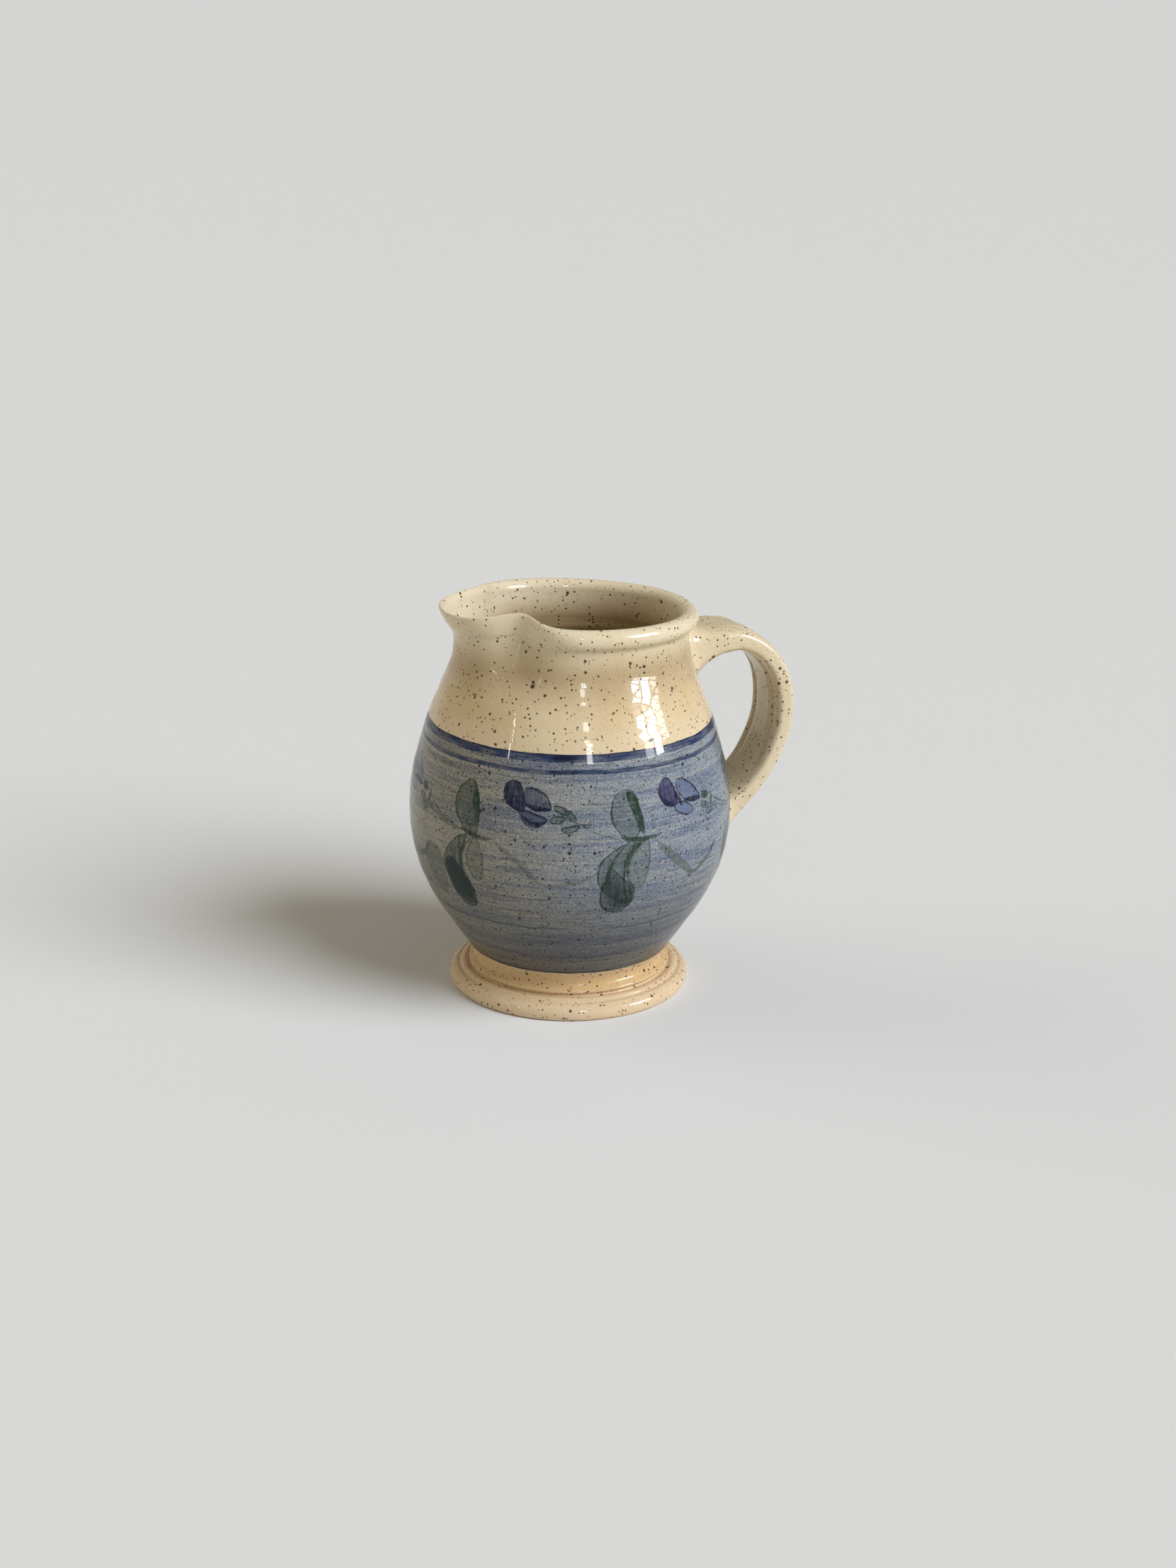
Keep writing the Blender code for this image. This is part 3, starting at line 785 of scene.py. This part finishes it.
def shoulder(sheet, brush, place, turn, level, painted):
    """Three lines at the shoulder, drawn with a full brush that overlaps at its start."""
    blotchy = sheet.rise(sheet.noise(sheet.stretched(place, 0.12, 0.8), 1.0, 2.0), 0.35, 0.62, 0.66, 1.0)
    for low, high, dark in SHOULDER_LINES:
        painted = sheet.mix(sheet.product(band(sheet, level, low, high, 0.5), blotchy, dark), painted, LINE_BLUE)
    painted = sheet.mix(sheet.product(band(sheet, level, 124.6, 125.7, 0.4), 0.8), painted, LINE_EDGE)
    return paint(sheet, brush, sheet.flat_place(turn, level), painted, 1.0, SINGLE_STROKES)


def painted_glaze(cream, specks, brush):
    """Cream glaze inside and on the neck, and the painted slip round the belly."""
    material, sheet, shader, place = glaze_material("painted_glaze", 0.24, 0.28)
    x, y, z = sheet.split(place)
    # Round the belly in millimetres: 0 faces the viewer, and to the right is positive.
    turn = sheet.math("SUBTRACT", sheet.math("ARCTAN2", y, x), FACES_VIEWER)
    turn = sheet.product(sheet.math("WRAP", turn, math.pi, -math.pi), ROUND)
    sway = sheet.vector("SUBTRACT", sheet.noise(place, 0.11, 1.0, out="Color"), (0.5, 0.5, 0.5))
    shake = sheet.vector("SUBTRACT", sheet.noise(place, 0.7, 1.0, out="Color"), (0.5, 0.5, 0.5))
    sway = sheet.vector("MULTIPLY_ADD", shake, (0.5, 0.5, 0.0), sheet.vector("MULTIPLY", sway, (1.8, 1.8, 0.0)))
    level = sheet.math("ADD", z, sheet.vector("DOT_PRODUCT", sway, (0.0, 0.45, 0.0)))

    painted = plants(sheet, brush, place, turn, sway, slip_colour(sheet, place, sway))
    painted = shoulder(sheet, brush, place, turn, level, painted)
    # A dark line at the slip's lower edge: partly the slip's darker edge, partly painted shade at the joint with the
    # foot.
    painted = sheet.mix(sheet.rise(level, 19.8, 21.2, 0.92, 0.0), painted, LOWER_EDGE_AND_SHADE)
    iron = sheet.use(specks, {"Place": place, "Amount": 0.95})["Specks"]
    painted = sheet.mix(sheet.math("MULTIPLY", iron, 0.92), painted, IRON_IN_SLIP)

    patches = sheet.rise(sheet.noise(place, 0.03, 2.0), 0.35, 0.65, 0.08, 0.42)
    pooled = sheet.product(sheet.rise(z, 124.0, 138.0), sheet.rise(z, 150.0, 164.0, 1.0, 0.0), patches)
    pale = sheet.rise(z, 152.0, 172.0, 0.0, 0.75)
    glaze = sheet.use(cream, {"Place": place, "Ochre": pooled, "Pale": pale})
    # Painted shade under the overhang of the rim's bead, with glaze pooled there: the neck is darkened just below
    # the bead.
    shade_and_pool_under_bead = sheet.product(sheet.rise(z, 136.0, 156.0, 0.0, 0.62), sheet.rise(z, 153.0, 169.0, 1.0, 0.0))
    plain = sheet.mix(shade_and_pool_under_bead, glaze["Colour"], BEAD_SHADE_AND_POOL_TINT, "MULTIPLY")

    from_axis = sheet.vector("MULTIPLY", place, (1.0, 1.0, 0.0))
    normal = sheet.node("ShaderNodeNewGeometry").outputs["True Normal"]
    inner = sheet.rise(sheet.vector("DOT_PRODUCT", normal, from_axis), -20.0, 0.0, 1.0, 0.0)
    # Painted shade inside the pot: the inner wall below the rim is darkened and browned, in streaks along the
    # throwing rings.
    rings = sheet.rise(sheet.noise(sheet.stretched(place, 0.02, 0.42), 1.0, 2.0), 0.35, 0.65, 0.25, 0.62)
    shade_inside = sheet.product(rings, sheet.rise(z, 150.0, 168.0, 1.0, 0.0), inner)
    plain = sheet.mix(shade_inside, plain, INSIDE_SHADE_TINT, "MULTIPLY")
    outside = outside_share(sheet, sheet.vector("LENGTH", from_axis), z)
    slipped = sheet.product(band(sheet, level, 19.2, 125.6, 0.4), outside)
    sheet.put(shader.inputs["Base Color"], sheet.mix(slipped, plain, painted))
    bump(sheet, shader, glaze["Height"])
    return material


# Half way through the body's wall, in millimetres: (height, radius).
WALL_MIDDLE = [
    (20.0, 40.0),
    (32.0, 48.0),
    (43.0, 57.0),
    (57.0, 63.7),
    (70.0, 67.2),
    (84.0, 68.1),
    (97.0, 67.0),
    (110.7, 63.7),
    (124.0, 59.7),
    (135.0, 55.0),
]
WALL_LOW, WALL_RISE, WALL_REACH = 20.0, 115.0, 100.0


def outside_share(sheet, radius, height):
    """1 on the outer wall below the neck and 0 on the inner wall."""
    middle = sheet.node("ShaderNodeFloatCurve")
    curve = middle.mapping.curves[0]
    points = [((level - WALL_LOW) / WALL_RISE, reach / WALL_REACH) for level, reach in WALL_MIDDLE]
    curve.points[0].location = points[0]
    curve.points[1].location = points[-1]
    for point in points[1:-1]:
        curve.points.new(*point)
    middle.mapping.update()
    share = sheet.math("DIVIDE", sheet.math("SUBTRACT", height, WALL_LOW), WALL_RISE)
    sheet.put(middle.inputs["Value"], share)
    wall = sheet.math("MULTIPLY", middle.outputs[0], WALL_REACH)
    return sheet.rise(sheet.math("SUBTRACT", radius, wall), -0.5, 0.5)


def plain_glaze(name, cream, ochre_low, ochre_high, ochre, pale, warm):
    """Cream glaze whose ochre deepens between two heights, where it pooled."""
    material, sheet, shader, place = glaze_material(name, 0.26, 0.45)
    height = sheet.split(place)[2]
    middle = (ochre_low + ochre_high) / 2
    rising = sheet.rise(height, ochre_low, middle)
    falling = sheet.rise(height, middle, ochre_high, 1.0, 0.0)
    pooled = sheet.product(rising, falling, ochre)
    glaze = sheet.use(cream, {"Place": place, "Ochre": pooled, "Pale": pale})
    sheet.put(shader.inputs["Base Color"], sheet.mix(warm, glaze["Colour"], WARM_TINT, "MULTIPLY"))
    bump(sheet, shader, glaze["Height"])
    return material


# ---------------------------------------------------------------- the pieces

specks = speck_group()
brush = brush_group()
cream = cream_group(specks)

body_points, body_faces = turned(body_profile(), BODY_AROUND, closed=False)
body_points = np.column_stack(pulled(*hand_made(body_points).T))
body = make_mesh("glazed_body", body_points, body_faces, painted_glaze(cream, specks, brush))
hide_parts("thrown_body")

foot_points, foot_faces = turned(foot_profile(), FOOT_AROUND, closed=True)
foot_glaze = plain_glaze("foot_glaze", cream, 6.5, 19.0, 0.75, 0.05, 0.2)
foot = make_mesh("turned_foot", foot_points, foot_faces, foot_glaze)
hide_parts("foot_ring")

strap_points, strap_faces = strap()
strap_glaze = plain_glaze("strap_glaze", cream, 130.0, 150.0, 0.0, 0.55, 0.0)
handle = make_mesh("pulled_strap", strap_points, strap_faces, strap_glaze)
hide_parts("strap_handle")

# ---------------------------------------------------------------- floor, light and camera

# The view's angles, its distance and the foot's place right of and below its middle in metres, and its lens in
# millimetres.
VIEW_TURN = math.radians(20)
VIEW_DIP = math.radians(18.78)
VIEW_ROLL = math.radians(0.57)
VIEW_DISTANCE = 1.1005
FOOT_OFF_CENTRE = (-0.00888, 0.08643)
LENS = 55.33
FLOOR_HALF_SIDE = 60.0


def seen(x, y, z):
    """A direction or place given as the viewer sees it: x to the right, y away and z up."""
    return Matrix.Rotation(-VIEW_TURN, 3, "Z") @ Vector((x, y, z))


def flat_material(name, colour):
    material = bpy.data.materials.new(name)
    material.use_nodes = True
    shader = material.node_tree.nodes["Principled BSDF"]
    shader.inputs["Base Color"].default_value = (*colour, 1.0)
    shader.inputs["Roughness"].default_value = 0.8
    shader.inputs["Specular IOR Level"].default_value = 0.1
    return material


def pale_floor():
    mesh = bpy.data.meshes.new("floor")
    side = FLOOR_HALF_SIDE
    mesh.from_pydata([(-side, -side, 0), (side, -side, 0), (side, side, 0), (-side, side, 0)], [], [(0, 1, 2, 3)])
    mesh.materials.append(flat_material("pale_floor", (0.74, 0.73, 0.695)))
    floor = add_object("floor", mesh)


# (along the window, up, brightness) of each pane: leaves outside dim some of them.
DAY_PANES = [
    (-0.26, -0.25, 0.35),
    (-0.26, -0.08, 0.9),
    (-0.26, 0.08, 0.8),
    (-0.26, 0.25, 0.1),
    (0.0, -0.25, 0.9),
    (0.0, -0.08, 1.2),
    (0.0, 0.08, 1.0),
    (0.0, 0.25, 0.3),
    (0.26, -0.25, 0.3),
    (0.26, -0.08, 0.35),
    (0.26, 0.08, 0.5),
    (0.26, 0.25, 0.3),
]
FAR_PANES = [(0.0, -0.19, 0.7), (0.02, -0.03, 1.0), (-0.02, 0.15, 0.5)]


def mirrored_window(name, place, size, panes, radiance):
    """Small panes that only show as highlights in the glaze. The soft sun gives their light."""
    aim = Vector((AXIS_X, 0.0, 0.09))
    middle = aim + seen(*place)
    facing = (aim - middle).to_track_quat("-Z", "Y")
    for along, up, share in panes:
        light = bpy.data.lights.new(name, "AREA")
        light.shape = "RECTANGLE"
        light.size, light.size_y = size
        light.energy = radiance * share * math.pi * size[0] * size[1]
        lamp = add_object(name, light)
        lamp.location = middle + facing @ Vector((along, up, 0.0))
        lamp.rotation_mode = "QUATERNION"
        lamp.rotation_quaternion = facing
        lamp.visible_diffuse = False


def sun(name, place, strength, spread, colour):
    """Soft light from all round one direction, too wide for the glaze to mirror."""
    light = bpy.data.lights.new(name, "SUN")
    light.energy = strength
    light.angle = spread
    light.color = colour
    lamp = add_object(name, light)
    lamp.rotation_mode = "QUATERNION"
    lamp.rotation_quaternion = seen(*place).to_track_quat("Z", "Y")
    lamp.visible_glossy = False


def soft_sky():
    world = bpy.data.worlds.new("studio")
    bpy.context.scene.world = world
    world.use_nodes = True
    sheet = Sheet(world.node_tree)
    lighting = world.node_tree.nodes["Background"]
    lighting.inputs["Color"].default_value = (0.75, 0.69, 0.57, 1.0)
    lighting.inputs["Strength"].default_value = 0.32
    # What shows behind the floor is as pale as the floor.
    backdrop = sheet.node("ShaderNodeBackground")
    backdrop.inputs["Color"].default_value = (0.65, 0.65, 0.63, 1.0)
    both = sheet.node("ShaderNodeMixShader")
    sheet.put(both.inputs[0], sheet.node("ShaderNodeLightPath").outputs["Is Camera Ray"])
    sheet.put(both.inputs[1], lighting.outputs[0])
    sheet.put(both.inputs[2], backdrop.outputs[0])
    sheet.put(world.node_tree.nodes["World Output"].inputs["Surface"], both.outputs[0])


def camera():
    dip, roll = VIEW_DIP, VIEW_ROLL
    ahead = seen(0.0, math.cos(dip), -math.sin(dip))
    right = seen(1.0, 0.0, 0.0)
    up = seen(0.0, math.sin(dip), math.cos(dip))
    across = right * math.cos(roll) + up * math.sin(roll)
    upright = up * math.cos(roll) - right * math.sin(roll)
    to_right, below = FOOT_OFF_CENTRE
    place = Vector((AXIS_X, 0.0, 0.0)) - across * to_right + upright * below - ahead * VIEW_DISTANCE
    data = bpy.data.cameras.new("viewer")
    data.lens = LENS
    data.sensor_width = 36.0
    made = add_object("viewer", data)
    made.matrix_world = Matrix.Translation(place) @ Matrix((across, upright, -ahead)).transposed().to_4x4()
    bpy.context.scene.camera = made


pale_floor()
soft_sky()
sun("soft_sun", (0.866, -0.5, 0.78), 3.2, math.radians(40), (0.94, 1.0, 1.12))
sun("left_fill", (-1.0, 0.25, 0.45), 0.75, math.radians(50), (1.0, 0.98, 0.92))
mirrored_window("day_window", (1.46, -0.42, 0.7), (0.21, 0.13), DAY_PANES, 75.0)
mirrored_window("far_window", (0.42, -1.6, 0.85), (0.13, 0.14), FAR_PANES, 60.0)
mirrored_window("left_slit", (-1.2, -1.05, 0.72), (0.03, 0.11), FAR_PANES, 55.0)
camera()
bpy.context.scene.view_settings.view_transform = "Standard"
